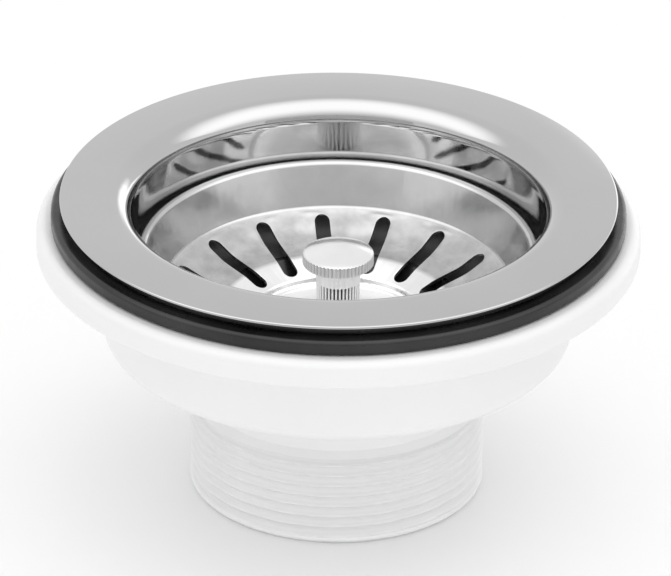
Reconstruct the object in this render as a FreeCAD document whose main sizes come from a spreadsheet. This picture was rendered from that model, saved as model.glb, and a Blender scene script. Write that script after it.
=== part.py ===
"""Basket strainer waste for a kitchen sink, in millimetres.

The axis is +Z and the outlet's lower end stands on z = 0. A pressed steel cup is pulled down on to
a white moulded body by a hollow bolt, with two rubber rings between them. A slotted basket with a
knob, a post and a rubber stopper drops into the cup, and its post runs in the bolt's bore.
"""
import FreeCAD, Part
import math
import os
import Sketcher
from FreeCAD import Placement, Rotation, Vector

doc = FreeCAD.newDocument("basket_strainer_waste")

# Driving dimensions
SIZES = {
    # moulded body: outlet, neck, chamber and rim
    "thread_radius": "29.8",
    "thread_length": "19.5",
    "outlet_chamfer": "0.8",
    "outlet_wall": "3.3",
    "neck_relief": "1.3",
    "neck_length": "13",
    "chamber_radius": "47.3",
    "chamber_depth": "19.5",
    "chamber_wall": "2.2",
    "chamber_round": "3",
    "rim_radius": "60.7",
    "rim_thickness": "5.8",
    "rim_top_round": "2",
    "rim_lower_round": "1",
    # moulded spider and its brass nut
    "spider_height": "5",
    "spider_depth": "9",
    "spider_arm_width": "3.2",
    "spider_arm_count": "4",
    "boss_wall": "1.6",
    "nut_across_flats": "15",
    "nut_depth": "6",
    # rubber rings
    "lower_seal_inset": "2.95",
    "lower_seal_thickness": "3.2",
    "lower_seal_round": "0.9",
    "upper_seal_inset": "1.2",
    "upper_seal_thickness": "1.7",
    "upper_seal_round": "0.7",
    "upper_seal_clearance": "0.2",
    # pressed cup
    "cup_sheet": "0.8",
    "cup_side_clearance": "3",
    "cup_floor_clearance": "0.4",
    "flange_radius": "56",
    "lip_bend": "4.5",
    "cup_floor_bend": "8",
    "well_side_clearance": "0.7",
    "well_depth": "15.9",
    "well_mouth_bend": "1.5",
    "well_floor_bend": "3",
    "drain_hole_radius": "2.5",
    "drain_hole_count": "12",
    # hollow bolt and washer
    "bolt_radius": "5",
    "bolt_hole_clearance": "0.3",
    "bolt_thread_clearance": "0.05",
    "bolt_head_radius": "8",
    "bolt_head_height": "3",
    "bolt_head_chamfer": "0.6",
    "bolt_slot_width": "2",
    "bolt_slot_depth": "1.4",
    "bolt_end_proud": "0.8",
    "washer_radius": "10",
    "washer_thickness": "1.2",
    # slotted basket
    "basket_sheet": "0.6",
    "basket_side_gap": "0.8",
    "bead_radius": "1.1",
    "bead_turn": "290",
    "bead_rise": "16.4",
    "wall_foot_rise": "8.4",
    "wall_lean": "3.1",
    "bowl_crease_rise": "3.5",
    "bowl_crease_radius": "23",
    "bowl_crease_bend": "6",
    "bowl_knee_rise": "5.1",
    "bowl_knee_radius": "28.9",
    "bowl_knee_bend": "10",
    "pan_drop": "1.4",
    "pan_radius": "17.5",
    "step_height": "1.4",
    "step_lean": "0.6",
    "press_bend": "1",
    "slot_count": "16",
    "slot_width": "3.1",
    "slot_end_flat": "0.05",
    "slot_inner_gap": "0.9",
    "slot_outer_gap": "1.6",
    "slot_phase": "6",
    # knob
    "knob_cap_radius": "7.2",
    "knob_height": "17.3",
    "knob_dome_rise": "1.2",
    "knob_band_height": "2.2",
    "knob_collar_height": "1.9",
    "knob_neck_radius": "4.55",
    "knob_waist_radius": "4.28",
    "knob_socket_depth": "7.5",
    "knob_waist_bend": "85",
    "knob_shoulder_inset": "0.9",
    "knob_shoulder_rise": "0.65",
    "knob_shoulder_bend": "1.2",
    "knob_crown_radius": "3.4",
    "knob_crown_bend": "25",
    "knurl_count": "54",
    "knurl_depth": "0.3",
    "flute_count": "36",
    "flute_depth": "0.25",
    "groove_share": "0.9",
    "groove_overcut": "0.1",
    # post, stopper and their fastening
    "post_radius": "2.5",
    "post_length": "32",
    "post_chamfer": "0.5",
    "post_clearance": "0.08",
    "fixed_clearance": "0.05",
    "stopper_thickness": "3",
    "stopper_lip": "1.2",
    "stopper_lip_height": "3.1",
    "stopper_gap": "0.3",
    "seal_plate_radius": "11",
    "seal_plate_thickness": "0.8",
    "post_nut_across_flats": "8",
    "post_nut_height": "4",
    # rubber grip ring in the post's groove
    "grip_ring_thickness": "0.84",
    "grip_ring_clearance": "0.05",
    "grip_ring_side_clearance": "0.13",
    "grip_ring_rise": "7",
}
sizes = doc.addObject("Spreadsheet::Sheet", "sizes")
for row, (alias, text) in enumerate(SIZES.items(), start=1):
    sizes.set(f"A{row}", alias)
    sizes.set(f"B{row}", text)
    sizes.setAlias(f"B{row}", alias)
doc.recompute()

# Heights and radii that several pieces share, as expressions on the sheet
OUTLET_END = "0"
CHAMBER_BOTTOM = "(sizes.thread_length + sizes.neck_length)"
CHAMBER_FLOOR = f"({CHAMBER_BOTTOM} + sizes.chamber_wall)"
RIM_BOTTOM = f"({CHAMBER_BOTTOM} + sizes.chamber_depth)"
RIM_TOP = f"({RIM_BOTTOM} + sizes.rim_thickness)"
LOWER_SEAL_TOP = f"({RIM_TOP} + sizes.lower_seal_thickness)"
UPPER_SEAL_TOP = f"({LOWER_SEAL_TOP} + sizes.upper_seal_thickness)"
FLANGE_TOP = f"({UPPER_SEAL_TOP} + sizes.cup_sheet)"
OUTLET_BORE = "(sizes.thread_radius - sizes.outlet_wall)"
CHAMBER_BORE = "(sizes.chamber_radius - sizes.chamber_wall)"
CUP_WALL = f"({CHAMBER_BORE} - sizes.cup_side_clearance - sizes.cup_sheet)"
CUP_FLOOR = f"({CHAMBER_FLOOR} + sizes.cup_floor_clearance + sizes.cup_sheet)"
WELL_WALL = f"({OUTLET_BORE} - sizes.well_side_clearance - sizes.cup_sheet)"
WELL_FLOOR = f"({CUP_FLOOR} - sizes.well_depth)"
BOLT_HOLE = "(sizes.bolt_radius + sizes.bolt_hole_clearance)"
WASHER_TOP = f"({WELL_FLOOR} + sizes.washer_thickness)"
BOLT_HEAD_TOP = f"({WASHER_TOP} + sizes.bolt_head_height)"
BOLT_BORE = "(sizes.post_radius + sizes.post_clearance)"
PAN_TOP = f"({CUP_FLOOR} - sizes.pan_drop)"
STOPPER_TOP = f"({PAN_TOP} - sizes.basket_sheet)"
STOPPER_BOTTOM = f"({STOPPER_TOP} - sizes.stopper_thickness)"
SEAL_PLATE_BOTTOM = f"({STOPPER_BOTTOM} - sizes.seal_plate_thickness)"
POST_HOLE = "(sizes.post_radius + sizes.fixed_clearance)"
POST_TOP = f"({PAN_TOP} + sizes.knob_socket_depth)"
POST_BOTTOM = f"({POST_TOP} - sizes.post_length)"
GRIP_HEIGHT = f"({POST_BOTTOM} + sizes.grip_ring_rise)"


def value(expression):
    """Work out an expression on the sheet as a plain number."""
    return float(sizes.evalExpression(expression))


def hexagon_radius(across_flats):
    """Corner radius of a hexagon, from its size across flats."""
    return f"({across_flats} / 2 / cos(30 deg))"


def new_body(label):
    body = doc.addObject("PartDesign::Body", label)
    body.Label = label
    return body


def new_sketch(body, name, role, height=None):
    """A sketch on one of the body's own planes, raised by an expression where one is given."""
    sketch = body.newObject("Sketcher::SketchObject", name)
    plane = next(item for item in body.Origin.OriginFeatures if item.Role == role)
    sketch.AttachmentSupport = (plane, "")
    sketch.MapMode = "FlatFace"
    if height:
        sketch.setExpression("AttachmentOffset.Base.z", height)
    return sketch


def constrain(sketch, kind, *geometry, size=None):
    """Add a constraint, and bind it to the sheet where a size is given."""
    if size is None:
        sketch.addConstraint(Sketcher.Constraint(kind, *geometry))
        return
    index = sketch.addConstraint(Sketcher.Constraint(kind, *geometry, value(size)))
    sketch.setExpression(f"Constraints[{index}]", size)


def locate(sketch, geometry, end, x, y):
    """Tie a point of the sketch to its distances from the origin."""
    for kind, axis, size in (("DistanceX", -2, x), ("DistanceY", -1, y)):
        if size == "0":
            constrain(sketch, "PointOnObject", geometry, end, axis)
        else:
            constrain(sketch, kind, -1, 1, geometry, end, size=size)


def draw_outline(sketch, corners, closed=True):
    """Draw straight runs between corners of (x, y, bend), with an arc at each corner that has a bend.

    Returns the last run, which an open outline may be carried on from.
    """
    count = len(corners)
    points = [Vector(value(x), value(y), 0) for x, y, bend in corners]
    run_count = count if closed else count - 1
    runs = [(points[i], points[(i + 1) % count]) for i in range(run_count)]
    heads = [Vector(start) for start, end in runs]
    tails = [Vector(end) for start, end in runs]
    arcs = {}
    for i, (x, y, bend) in enumerate(corners):
        if bend is None:
            continue
        before = (points[i] - points[i - 1]).normalize()
        after = (points[(i + 1) % count] - points[i]).normalize()
        turn = math.atan2(before.cross(after).z, before.dot(after))
        radius = value(bend)
        trim = radius * math.tan(abs(turn) / 2)
        tails[i - 1] = points[i] - before * trim
        heads[i] = points[i] + after * trim
        side = math.copysign(1, turn)
        centre = tails[i - 1] + Vector(-before.y, before.x, 0) * radius * side
        first, last = (tails[i - 1], heads[i]) if side > 0 else (heads[i], tails[i - 1])
        angles = [math.atan2(p.y - centre.y, p.x - centre.x) for p in (first, last)]
        circle = Part.Circle(centre, Vector(0, 0, 1), radius)
        arcs[i] = (Part.ArcOfCircle(circle, *angles), side > 0)
    lines = [sketch.addGeometry(Part.LineSegment(a, b)) for a, b in zip(heads, tails)]
    for i, (x, y, bend) in enumerate(corners):
        if not closed and i == count - 1:
            locate(sketch, lines[-1], 2, x, y)
        elif bend is None:
            if closed or i > 0:
                constrain(sketch, "Coincident", lines[i - 1], 2, lines[i], 1)
            locate(sketch, lines[i], 1, x, y)
        else:
            shape, leftward = arcs[i]
            arc = sketch.addGeometry(shape)
            corner = sketch.addGeometry(Part.Point(points[i]), True)
            constrain(sketch, "Tangent", lines[i - 1], 2, arc, 1 if leftward else 2)
            constrain(sketch, "Tangent", arc, 2 if leftward else 1, lines[i], 1)
            constrain(sketch, "Radius", arc, size=bend)
            constrain(sketch, "PointOnObject", corner, 1, lines[i - 1])
            constrain(sketch, "PointOnObject", corner, 1, lines[i])
            locate(sketch, corner, 1, x, y)
    return lines[-1]


def draw_circle(sketch, radius, x="0", y="0"):
    centre = Vector(value(x), value(y), 0)
    circle = sketch.addGeometry(Part.Circle(centre, Vector(0, 0, 1), value(radius)))
    constrain(sketch, "Radius", circle, size=radius)
    if x == "0" and y == "0":
        constrain(sketch, "Coincident", circle, 3, -1, 1)
    else:
        locate(sketch, circle, 3, x, y)


def revolve(body, name, corners):
    """Turn a closed outline of (radius, height, bend) about the axis."""
    sketch = new_sketch(body, name + "_outline", "XZ_Plane")
    draw_outline(sketch, corners)
    turned = body.newObject("PartDesign::Revolution", name)
    turned.Profile = sketch
    turned.ReferenceAxis = (sketch, ["V_Axis"])
    turned.Angle = 360
    doc.recompute()
    return turned


def pad(body, name, sketch, length):
    raised = body.newObject("PartDesign::Pad", name)
    raised.Profile = sketch
    raised.setExpression("Length", length)
    doc.recompute()
    return raised


def pocket(body, name, sketch, depth, upwards):
    """Cut a sketch into the body, upwards or downwards from its own plane."""
    before = body.Shape.Volume
    cut = body.newObject("PartDesign::Pocket", name)
    cut.Profile = sketch
    cut.Reversed = upwards
    cut.setExpression("Length", depth)
    doc.recompute()
    assert body.Shape.Volume < before, name + " cuts nothing"
    return cut


def repeat_around(body, name, feature, count):
    """Copy a feature evenly round the axis."""
    pattern = body.newObject("PartDesign::PolarPattern", name)
    pattern.Originals = [feature]
    pattern.Axis = (feature.Profile[0], ["N_Axis"])
    pattern.Angle = 360
    pattern.setExpression("Occurrences", count)
    body.Tip = pattern
    doc.recompute()
    return pattern


def pressed_sheet(name, corners, thickness, curl=None):
    """A bowl pressed from sheet: its upper face follows the corners from the middle outwards.

    The thickness lies below that face. A curl of (radius, turn) rolls the edge over and outwards.
    """
    path = doc.addObject("Sketcher::SketchObject", name + "_path")
    last_run = draw_outline(path, corners, closed=False)
    if curl:
        radius, turn = curl
        run = path.Geometry[last_run]
        along = (run.EndPoint - run.StartPoint).normalize()
        centre = run.EndPoint + Vector(along.y, -along.x, 0) * value(radius)
        start = math.atan2(run.EndPoint.y - centre.y, run.EndPoint.x - centre.x)
        circle = Part.Circle(centre, Vector(0, 0, 1), value(radius))
        sweep = math.radians(value(turn))
        arc = path.addGeometry(Part.ArcOfCircle(circle, start - sweep, start))
        constrain(path, "Tangent", last_run, 2, arc, 2)
        constrain(path, "Radius", arc, size=radius)
        index = path.addConstraint(Sketcher.Constraint("Angle", arc, sweep))
        path.setExpression(f"Constraints[{index}]", f"{turn} * 1 deg")
    path.Placement = Placement(Vector(), Rotation(Vector(1, 0, 0), 90))
    section = doc.addObject("Part::Offset2D", name + "_section")
    section.Source = path
    section.Mode = "Skin"
    section.Join = "Arc"
    section.Fill = True
    section.setExpression("Value", f"-{thickness}")
    turned = doc.addObject("Part::Revolution", name + "_pressed")
    turned.Source = section
    turned.Axis = Vector(0, 0, 1)
    turned.Angle = 360
    turned.Solid = True
    doc.recompute()
    return turned


def cut_away(label, base, tool):
    cut = doc.addObject("Part::Cut", label)
    cut.Label = label
    cut.Base = base
    cut.Tool = tool
    doc.recompute()
    return cut


def ring(label, inner, outer, bottom, height):
    """A flat washer."""
    body = new_body(label)
    sketch = new_sketch(body, label + "_face", "XY_Plane", bottom)
    draw_circle(sketch, outer)
    draw_circle(sketch, inner)
    pad(body, label + "_blank", sketch, height)
    return body


def hexagon_nut(label, across_flats, bore, bottom, height):
    """A plain hexagon nut with a smooth bore."""
    blank = doc.addObject("Part::Prism", label + "_blank")
    blank.Polygon = 6
    blank.setExpression("Circumradius", hexagon_radius(across_flats))
    blank.setExpression("Height", height)
    blank.setExpression("Placement.Base.z", bottom)
    hole = doc.addObject("Part::Cylinder", label + "_hole")
    hole.setExpression("Radius", bore)
    hole.setExpression("Height", height)
    hole.setExpression("Placement.Base.z", bottom)
    return cut_away(label, blank, hole)


def make_waste_body():
    """White moulding: threaded outlet, neck, chamber, rim and the spider that holds the nut."""
    body = new_body("waste_body")
    neck = "(sizes.thread_radius - sizes.neck_relief)"
    chamfered = "(sizes.thread_radius - sizes.outlet_chamfer)"
    revolve(body, "shell", [
        (OUTLET_BORE, OUTLET_END, None),
        (chamfered, OUTLET_END, None),
        ("sizes.thread_radius", "sizes.outlet_chamfer", None),
        ("sizes.thread_radius", "sizes.thread_length", None),
        (neck, "(sizes.thread_length + sizes.neck_relief)", None),
        (neck, CHAMBER_BOTTOM, None),
        ("sizes.chamber_radius", CHAMBER_BOTTOM, "sizes.chamber_round"),
        ("sizes.chamber_radius", RIM_BOTTOM, None),
        ("sizes.rim_radius", RIM_BOTTOM, "sizes.rim_lower_round"),
        ("sizes.rim_radius", RIM_TOP, "sizes.rim_top_round"),
        (CHAMBER_BORE, RIM_TOP, None),
        (CHAMBER_BORE, CHAMBER_FLOOR, None),
        (OUTLET_BORE, CHAMBER_FLOOR, None),
    ])
    # one arm runs from the axis into the outlet's wall, and is copied round
    arm = new_sketch(body, "arm_face", "XY_Plane", "sizes.spider_height")
    reach = f"({OUTLET_BORE} + sizes.outlet_wall / 4)"
    half = "sizes.spider_arm_width / 2"
    draw_outline(arm, [
        ("0", f"-{half}", None),
        (reach, f"-{half}", None),
        (reach, half, None),
        ("0", half, None),
    ])
    arm_pad = pad(body, "arm", arm, "sizes.spider_depth")
    repeat_around(body, "arms", arm_pad, "sizes.spider_arm_count")
    boss = new_sketch(body, "boss_face", "XY_Plane", "sizes.spider_height")
    draw_circle(boss, f"({hexagon_radius('sizes.nut_across_flats')} + sizes.boss_wall)")
    pad(body, "boss", boss, "sizes.spider_depth")
    hole = new_sketch(body, "bolt_hole_face", "XY_Plane", "sizes.spider_height")
    draw_circle(hole, BOLT_HOLE)
    pocket(body, "bolt_hole", hole, "sizes.spider_depth", upwards=True)
    seat = new_sketch(body, "nut_seat_face", "XY_Plane", "sizes.spider_height")
    corner = hexagon_radius("(sizes.nut_across_flats + 2 * sizes.fixed_clearance)")
    draw_outline(seat, [
        (f"{corner} * cos({angle} deg)", f"{corner} * sin({angle} deg)" if angle % 180 else "0", None)
        for angle in range(0, 360, 60)
    ])
    pocket(body, "nut_seat", seat, "sizes.nut_depth", upwards=True)
    return body


def make_clamp_nut():
    """Brass insert in the boss, flush with its lower face."""
    bore = "(sizes.bolt_radius + sizes.bolt_thread_clearance)"
    return hexagon_nut("clamp_nut", "sizes.nut_across_flats", bore, "sizes.spider_height", "sizes.nut_depth")


def make_lower_seal():
    """Thick rubber ring on the rim, in line with the chamber's bore."""
    body = new_body("lower_seal")
    outer = "(sizes.rim_radius - sizes.lower_seal_inset)"
    revolve(body, "lower_seal_ring", [
        (CHAMBER_BORE, RIM_TOP, None),
        (outer, RIM_TOP, "sizes.lower_seal_round"),
        (outer, LOWER_SEAL_TOP, "sizes.lower_seal_round"),
        (CHAMBER_BORE, LOWER_SEAL_TOP, None),
    ])
    return body


def make_upper_seal():
    """Thin ring between the flange and the lower seal, outside the lip's bend."""
    body = new_body("upper_seal")
    inner = f"({CUP_WALL} + sizes.lip_bend + sizes.upper_seal_clearance)"
    outer = "(sizes.flange_radius - sizes.upper_seal_inset)"
    revolve(body, "upper_seal_ring", [
        (inner, LOWER_SEAL_TOP, None),
        (outer, LOWER_SEAL_TOP, "sizes.upper_seal_round"),
        (outer, UPPER_SEAL_TOP, "sizes.upper_seal_round"),
        (inner, UPPER_SEAL_TOP, None),
    ])
    return body


def make_strainer_cup():
    """Pressed cup: drained well, floor, wall, rolled lip and flat flange."""
    pressed = pressed_sheet("strainer_cup", [
        (BOLT_HOLE, WELL_FLOOR, None),
        (WELL_WALL, WELL_FLOOR, "sizes.well_floor_bend"),
        (WELL_WALL, CUP_FLOOR, "sizes.well_mouth_bend"),
        (CUP_WALL, CUP_FLOOR, "sizes.cup_floor_bend"),
        (CUP_WALL, FLANGE_TOP, "sizes.lip_bend"),
        ("sizes.flange_radius", FLANGE_TOP, None),
    ], "sizes.cup_sheet")
    # the drain holes lie midway between the washer and the well's bend
    drills = new_body("drain_drills")
    first = new_sketch(drills, "drain_face", "XY_Plane", f"({WELL_FLOOR} - 2 * sizes.cup_sheet)")
    middle = f"((sizes.washer_radius + {WELL_WALL} - sizes.well_floor_bend) / 2)"
    draw_circle(first, "sizes.drain_hole_radius", x=middle)
    drill = pad(drills, "drain_drill", first, "3 * sizes.cup_sheet")
    repeat_around(drills, "drain_ring", drill, "sizes.drain_hole_count")
    return cut_away("strainer_cup", pressed, drills)


def make_bolt_washer():
    return ring("bolt_washer", BOLT_HOLE, "sizes.washer_radius", WELL_FLOOR, "sizes.washer_thickness")


def make_clamp_bolt():
    """Hollow bolt: round slotted head on the washer, shank down through the nut."""
    body = new_body("clamp_bolt")
    end = "(sizes.spider_height - sizes.bolt_end_proud)"
    edge = "(sizes.bolt_head_radius - sizes.bolt_head_chamfer)"
    revolve(body, "bolt_turned", [
        (BOLT_BORE, end, None),
        ("sizes.bolt_radius", end, None),
        ("sizes.bolt_radius", WASHER_TOP, None),
        ("sizes.bolt_head_radius", WASHER_TOP, None),
        ("sizes.bolt_head_radius", f"({BOLT_HEAD_TOP} - sizes.bolt_head_chamfer)", None),
        (edge, BOLT_HEAD_TOP, None),
        (BOLT_BORE, BOLT_HEAD_TOP, None),
    ])
    slot = new_sketch(body, "driver_slot_face", "XY_Plane", BOLT_HEAD_TOP)
    reach = "2 * sizes.bolt_head_radius"
    half = "sizes.bolt_slot_width / 2"
    draw_outline(slot, [
        (f"-{reach}", f"-{half}", None),
        (reach, f"-{half}", None),
        (reach, half, None),
        (f"-{reach}", half, None),
    ])
    pocket(body, "driver_slot", slot, "sizes.bolt_slot_depth", upwards=False)
    return body


def make_basket_bowl():
    """Pressed basket: pan, step, slotted bowl, leaning wall and rolled bead."""
    bead_inner = f"({CUP_WALL} - sizes.basket_side_gap - 2 * sizes.bead_radius)"
    foot = f"({bead_inner} - sizes.wall_lean)"
    step_radius = "(sizes.pan_radius + sizes.step_lean)"
    pressed = pressed_sheet("basket_bowl", [
        (POST_HOLE, PAN_TOP, None),
        ("sizes.pan_radius", PAN_TOP, "sizes.press_bend"),
        (step_radius, f"({PAN_TOP} + sizes.step_height)", "sizes.press_bend"),
        ("sizes.bowl_crease_radius", f"({PAN_TOP} + sizes.bowl_crease_rise)", "sizes.bowl_crease_bend"),
        ("sizes.bowl_knee_radius", f"({PAN_TOP} + sizes.bowl_knee_rise)", "sizes.bowl_knee_bend"),
        (foot, f"({PAN_TOP} + sizes.wall_foot_rise)", "sizes.press_bend"),
        (bead_inner, f"({PAN_TOP} + sizes.bead_rise)", None),
    ], "sizes.basket_sheet", curl=("sizes.bead_radius", "sizes.bead_turn"))
    punches = new_body("slot_punches")
    first = new_sketch(punches, "slot_face", "XY_Plane", PAN_TOP)
    half = "(sizes.slot_width / 2)"
    near = f"({step_radius} + sizes.slot_inner_gap)"
    far = f"({foot} - sizes.slot_outer_gap)"
    end_round = f"({half} - sizes.slot_end_flat)"
    draw_outline(first, [
        (near, f"-{half}", end_round),
        (far, f"-{half}", end_round),
        (far, half, end_round),
        (near, half, end_round),
    ])
    punch = pad(punches, "slot_punch", first, "sizes.bead_rise")
    repeat_around(punches, "slot_ring", punch, "sizes.slot_count")
    punches.setExpression("Placement.Rotation.Angle", "sizes.slot_phase")
    return cut_away("basket_bowl", pressed, punches)


def groove_cutters(name, bottom, height, root, mouth, count):
    """A ring of upright wedges that cut V grooves from the mouth radius in to the root radius."""
    cutters = new_body(name + "_cutters")
    sketch = new_sketch(cutters, name + "_face", "XY_Plane", bottom)
    half = f"({mouth} * sizes.groove_share * tan(180 deg / {count}))"
    draw_outline(sketch, [
        (root, "0", None),
        (mouth, f"-{half}", None),
        (mouth, half, None),
    ])
    wedge = pad(cutters, name + "_wedge", sketch, height)
    repeat_around(cutters, name + "_ring", wedge, count)
    return cutters


def make_knob():
    """Turned grip: knurled cap with a low dome, smooth collar, fluted neck and a blind socket."""
    top = f"({PAN_TOP} + sizes.knob_height)"
    band_top = f"({top} - sizes.knob_dome_rise)"
    band_bottom = f"({band_top} - sizes.knob_band_height)"
    collar_bottom = f"({band_bottom} - sizes.knob_collar_height)"
    waist_height = f"(({PAN_TOP} + {collar_bottom}) / 2)"
    shoulder = "(sizes.knob_cap_radius - sizes.knob_shoulder_inset)"
    body = new_body("knob_turned")
    revolve(body, "knob_blank", [
        ("0", POST_TOP, None),
        (POST_HOLE, POST_TOP, None),
        (POST_HOLE, PAN_TOP, None),
        ("sizes.knob_neck_radius", PAN_TOP, None),
        ("sizes.knob_waist_radius", waist_height, "sizes.knob_waist_bend"),
        ("sizes.knob_neck_radius", collar_bottom, None),
        ("sizes.knob_neck_radius", band_bottom, None),
        ("sizes.knob_cap_radius", band_bottom, None),
        ("sizes.knob_cap_radius", band_top, None),
        (shoulder, f"({band_top} + sizes.knob_shoulder_rise)", "sizes.knob_shoulder_bend"),
        ("sizes.knob_crown_radius", top, "sizes.knob_crown_bend"),
        ("0", top, None),
    ])
    knurls = groove_cutters(
        "knurl", band_bottom, f"({top} - {band_bottom})", "(sizes.knob_cap_radius - sizes.knurl_depth)",
        "(sizes.knob_cap_radius + sizes.groove_overcut)", "sizes.knurl_count")
    flutes = groove_cutters(
        "flute", PAN_TOP, f"({collar_bottom} - {PAN_TOP})", "(sizes.knob_waist_radius - sizes.flute_depth)",
        "(sizes.knob_neck_radius + sizes.groove_overcut)", "sizes.flute_count")
    return cut_away("knob", cut_away("knob_knurled", body, knurls), flutes)


def make_post():
    """Steel stem with a groove for the grip ring, chamfered at its lower end."""
    body = new_body("post")
    groove = "(sizes.post_radius - sizes.grip_ring_thickness)"
    half = "(sizes.grip_ring_thickness / 2 + sizes.grip_ring_side_clearance)"
    revolve(body, "post_turned", [
        ("0", POST_BOTTOM, None),
        ("(sizes.post_radius - sizes.post_chamfer)", POST_BOTTOM, None),
        ("sizes.post_radius", f"({POST_BOTTOM} + sizes.post_chamfer)", None),
        ("sizes.post_radius", f"({GRIP_HEIGHT} - {half})", None),
        (groove, f"({GRIP_HEIGHT} - {half})", None),
        (groove, f"({GRIP_HEIGHT} + {half})", None),
        ("sizes.post_radius", f"({GRIP_HEIGHT} + {half})", None),
        ("sizes.post_radius", POST_TOP, None),
        ("0", POST_TOP, None),
    ])
    return body


def make_stopper_seal():
    """Rubber dish under the pan, whose bevelled lip closes on the bend of the well's mouth."""
    body = new_body("stopper_seal")
    # a bevel of 45 degrees that clears the mouth's bend by the stopper's gap
    bend_offset = f"({WELL_WALL} - {CUP_FLOOR} + 2 * sizes.well_mouth_bend)"
    bevel = f"({bend_offset} - sqrt(2) * (sizes.well_mouth_bend + sizes.stopper_gap))"
    lip_top = f"({STOPPER_TOP} + sizes.stopper_lip_height)"
    revolve(body, "stopper_moulded", [
        (POST_HOLE, STOPPER_BOTTOM, None),
        (f"({STOPPER_BOTTOM} + {bevel})", STOPPER_BOTTOM, None),
        (f"({lip_top} + {bevel})", lip_top, None),
        (f"({lip_top} + {bevel} - sizes.stopper_lip)", lip_top, None),
        (f"({STOPPER_TOP} + {bevel} - sizes.stopper_lip)", STOPPER_TOP, None),
        (POST_HOLE, STOPPER_TOP, None),
    ])
    return body


def make_seal_plate():
    return ring("seal_plate", POST_HOLE, "sizes.seal_plate_radius", SEAL_PLATE_BOTTOM,
                "sizes.seal_plate_thickness")


def make_post_nut():
    bottom = f"({SEAL_PLATE_BOTTOM} - sizes.post_nut_height)"
    return hexagon_nut("post_nut", "sizes.post_nut_across_flats", POST_HOLE, bottom, "sizes.post_nut_height")


def make_grip_ring():
    """Rubber ring in the post's groove, which rubs in the bolt's bore."""
    torus = doc.addObject("Part::Torus", "grip_ring")
    torus.Label = "grip_ring"
    section = "sizes.grip_ring_thickness / 2"
    torus.setExpression("Radius2", section)
    torus.setExpression("Radius1", f"sizes.post_radius - {section} + sizes.grip_ring_clearance / 2")
    torus.setExpression("Placement.Base.z", GRIP_HEIGHT)
    doc.recompute()
    return torus


nodes = [
    make_waste_body(),
    make_clamp_nut(),
    make_lower_seal(),
    make_upper_seal(),
    make_strainer_cup(),
    make_bolt_washer(),
    make_clamp_bolt(),
    make_basket_bowl(),
    make_knob(),
    make_post(),
    make_stopper_seal(),
    make_seal_plate(),
    make_post_nut(),
    make_grip_ring(),
]
doc.recompute()

for item in doc.Objects:
    failed = {"Invalid", "Error"} & set(item.State)
    assert not failed, f"{item.Label} failed to compute"
for node in nodes:
    assert not node.Shape.isNull(), f"{node.Label} is empty"
    assert node.Shape.isValid(), f"{node.Label} is not valid"
    assert len(node.Shape.Solids) == 1, f"{node.Label} is not one solid"

os.makedirs("parts", exist_ok=True)
for node in nodes:
    node.Shape.exportStep(f"parts/{node.Label}.step")
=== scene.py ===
import math

import bpy
from mathutils import Matrix, Vector


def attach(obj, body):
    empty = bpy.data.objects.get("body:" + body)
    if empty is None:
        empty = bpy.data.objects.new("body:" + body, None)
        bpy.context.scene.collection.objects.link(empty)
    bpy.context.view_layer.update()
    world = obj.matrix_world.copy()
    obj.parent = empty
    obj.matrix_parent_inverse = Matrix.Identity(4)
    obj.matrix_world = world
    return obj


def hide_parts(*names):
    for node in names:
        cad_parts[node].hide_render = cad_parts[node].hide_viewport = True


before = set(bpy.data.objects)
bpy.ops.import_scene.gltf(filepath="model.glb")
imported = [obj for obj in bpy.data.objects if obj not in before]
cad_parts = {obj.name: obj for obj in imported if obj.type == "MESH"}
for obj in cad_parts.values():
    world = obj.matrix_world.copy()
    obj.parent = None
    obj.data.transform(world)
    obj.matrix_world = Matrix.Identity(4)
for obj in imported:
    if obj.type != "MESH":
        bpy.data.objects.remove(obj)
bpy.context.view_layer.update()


# The body is one white injection moulding: a threaded outlet, a neck, a wide chamber and a flat rim,
# with a four-armed spider inside the outlet that holds the nut for the clamp bolt.
# Sizes of pieces are in millimetres, as radii from the axis and heights above the outlet's end.
MM = 0.001
TOLERANCE = 0.01
WELD = 0.002
EDGE_ROUND = 0.3
THREAD_RADIUS = 29.8
THREAD_START = 0.8
THREAD_END = 19.5
THREAD_PITCH = 2.309
THREAD_DEPTH = 1.0
THREAD_RINGS = 18
GROOVE_FULLNESS = 0.4
LEAD_IN_START = 1.2
LEAD_IN_LENGTH = 0.6
RUN_OUT_LENGTH = 0.5
OUTLET_BORE = 26.5
NECK_RADIUS = 28.5
NECK_FOOT = 20.8
CHAMBER_RADIUS = 47.3
CHAMBER_BORE = 45.1
CHAMBER_BOTTOM = 32.5
CHAMBER_BEND = 3.0
CHAMBER_FLOOR = 34.7
RIM_RADIUS = 60.7
RIM_BOTTOM = 52.0
RIM_TOP = 57.8
RIM_LOWER_BEND = 1.0
RIM_UPPER_BEND = 2.0
SPIDER_BOTTOM = 5.0
SPIDER_DEPTH = 9.0
SPIDER_EDGE = 0.2
ARM_WIDTH = 3.2
ARM_REACH = 27.3
BOSS_RADIUS = 10.26
BOLT_HOLE = 5.3
NUT_SEAT_CORNER = 8.718
NUT_SEAT_DEPTH = 6.0


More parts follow.
